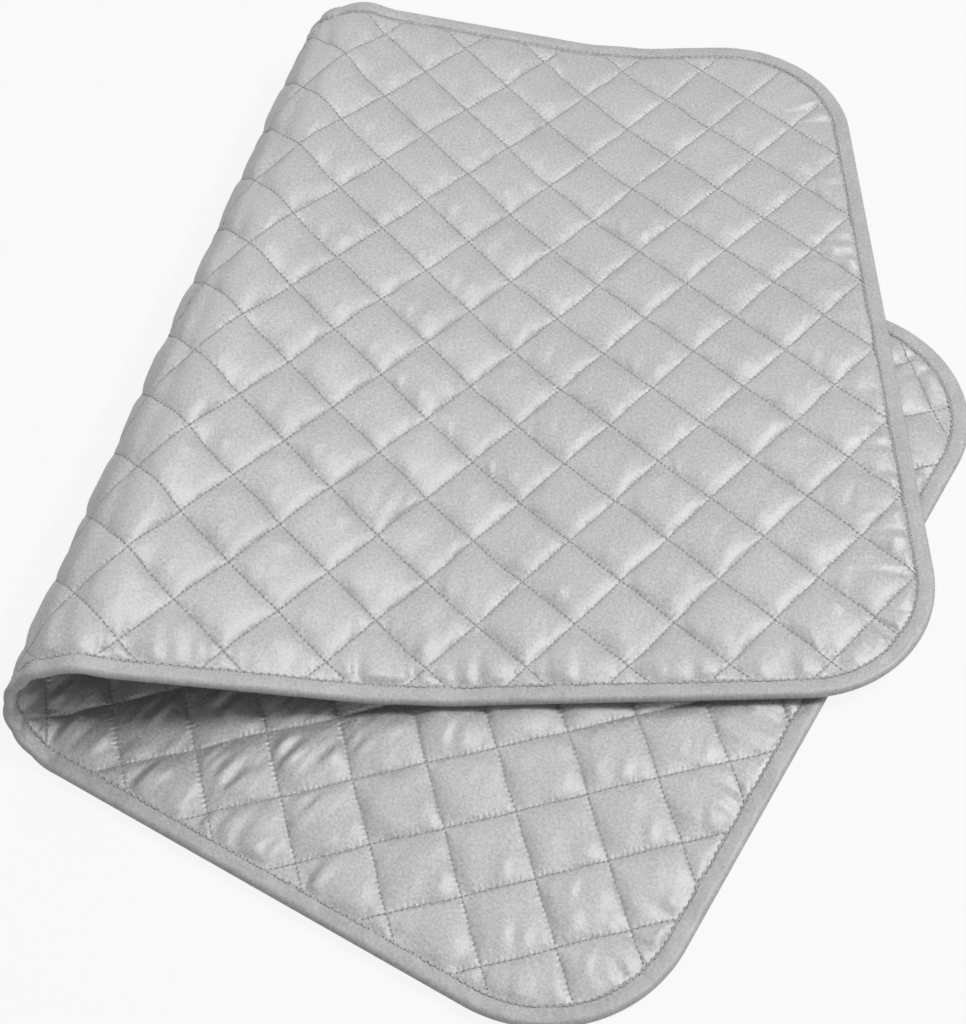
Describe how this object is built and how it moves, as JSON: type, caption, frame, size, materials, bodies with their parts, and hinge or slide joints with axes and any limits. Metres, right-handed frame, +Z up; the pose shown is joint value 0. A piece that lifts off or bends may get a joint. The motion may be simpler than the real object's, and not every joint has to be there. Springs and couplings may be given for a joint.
{
  "type": "ironing pad",
  "caption": "Quilted silver-grey ironing pad with rounded corners and a bound edge, folded over on itself; the upper leaf opens out so that the pad lies flat.",
  "frame": {"origin": "centre of the folded pad's bounding box in plan, on the surface that it lies on", "axes": "+Z up; Y along the fold; +X from the fold towards the free ends of the two leaves"},
  "size_m": [0.4382, 0.6554, 0.06],
  "materials": {
    "cover_cloth": "satin silver-coated cloth, quilted in diamonds",
    "wadding": "matt white fibre wadding",
    "binding_tape": "matt woven grey bias tape, top-stitched"
  },
  "bodies": {
    "lower_leaf": {"lower_leaf_outer_cover": "cover_cloth", "lower_leaf_wadding": "wadding", "lower_leaf_inner_cover": "cover_cloth", "lower_leaf_binding": "binding_tape"},
    "fold_1": {"fold_1_outer_cover": "cover_cloth", "fold_1_wadding": "wadding", "fold_1_inner_cover": "cover_cloth", "fold_1_front_binding": "binding_tape", "fold_1_back_binding": "binding_tape"},
    "fold_2": {"fold_2_outer_cover": "cover_cloth", "fold_2_wadding": "wadding", "fold_2_inner_cover": "cover_cloth", "fold_2_front_binding": "binding_tape", "fold_2_back_binding": "binding_tape"},
    "fold_3": {"fold_3_outer_cover": "cover_cloth", "fold_3_wadding": "wadding", "fold_3_inner_cover": "cover_cloth", "fold_3_front_binding": "binding_tape", "fold_3_back_binding": "binding_tape"},
    "fold_4": {"fold_4_outer_cover": "cover_cloth", "fold_4_wadding": "wadding", "fold_4_inner_cover": "cover_cloth", "fold_4_front_binding": "binding_tape", "fold_4_back_binding": "binding_tape"},
    "fold_5": {"fold_5_outer_cover": "cover_cloth", "fold_5_wadding": "wadding", "fold_5_inner_cover": "cover_cloth", "fold_5_front_binding": "binding_tape", "fold_5_back_binding": "binding_tape"},
    "slope": {"slope_outer_cover": "cover_cloth", "slope_wadding": "wadding", "slope_inner_cover": "cover_cloth", "slope_front_binding": "binding_tape", "slope_back_binding": "binding_tape"},
    "landing": {"landing_outer_cover": "cover_cloth", "landing_wadding": "wadding", "landing_inner_cover": "cover_cloth", "landing_front_binding": "binding_tape", "landing_back_binding": "binding_tape"},
    "upper_leaf": {"upper_leaf_outer_cover": "cover_cloth", "upper_leaf_wadding": "wadding", "upper_leaf_inner_cover": "cover_cloth", "upper_leaf_binding": "binding_tape"}
  },
  "joints": [
    {"name": "fold_1_hinge", "type": "hinge", "parent": "lower_leaf", "child": "fold_1", "pos_m": [-0.1974, 0.00083, 0], "axis": [0, -1, 0], "range_deg": [0, 32.5]},
    {"name": "fold_2_hinge", "type": "hinge", "parent": "fold_1", "child": "fold_2", "pos_m": [-0.21185, 0.00083, 0.00921], "axis": [0, -1, 0], "range_deg": [0, 32.5]},
    {"name": "fold_3_hinge", "type": "hinge", "parent": "fold_2", "child": "fold_3", "pos_m": [-0.2191, 0.00083, 0.02473], "axis": [0, -1, 0], "range_deg": [0, 32.5]},
    {"name": "fold_4_hinge", "type": "hinge", "parent": "fold_3", "child": "fold_4", "pos_m": [-0.21686, 0.00083, 0.04172], "axis": [0, -1, 0], "range_deg": [0, 32.5]},
    {"name": "fold_5_hinge", "type": "hinge", "parent": "fold_4", "child": "fold_5", "pos_m": [-0.20585, 0.00083, 0.05485], "axis": [0, -1, 0], "range_deg": [0, 32.5]},
    {"name": "slope_hinge", "type": "hinge", "parent": "fold_5", "child": "slope", "pos_m": [-0.1895, 0.00083, 0.06], "axis": [0, -1, 0], "range_deg": [0, 32.5]},
    {"name": "landing_hinge", "type": "hinge", "parent": "slope", "child": "landing", "pos_m": [-0.0515, 0.00083, 0.01422], "axis": [0, 1, 0], "range_deg": [0, 7.5]},
    {"name": "upper_leaf_hinge", "type": "hinge", "parent": "landing", "child": "upper_leaf", "pos_m": [-0.01184, 0.00083, 0.009], "axis": [0, 1, 0], "range_deg": [0, 7.5]}
  ],
  "couplings": [
    {"joint": "fold_2_hinge", "follows": "fold_1_hinge", "ratio": 1},
    {"joint": "fold_3_hinge", "follows": "fold_1_hinge", "ratio": 1},
    {"joint": "fold_4_hinge", "follows": "fold_1_hinge", "ratio": 1},
    {"joint": "fold_5_hinge", "follows": "fold_1_hinge", "ratio": 1},
    {"joint": "slope_hinge", "follows": "fold_1_hinge", "ratio": 1},
    {"joint": "landing_hinge", "follows": "fold_1_hinge", "ratio": 0.23077},
    {"joint": "upper_leaf_hinge", "follows": "fold_1_hinge", "ratio": 0.23077}
  ]
}
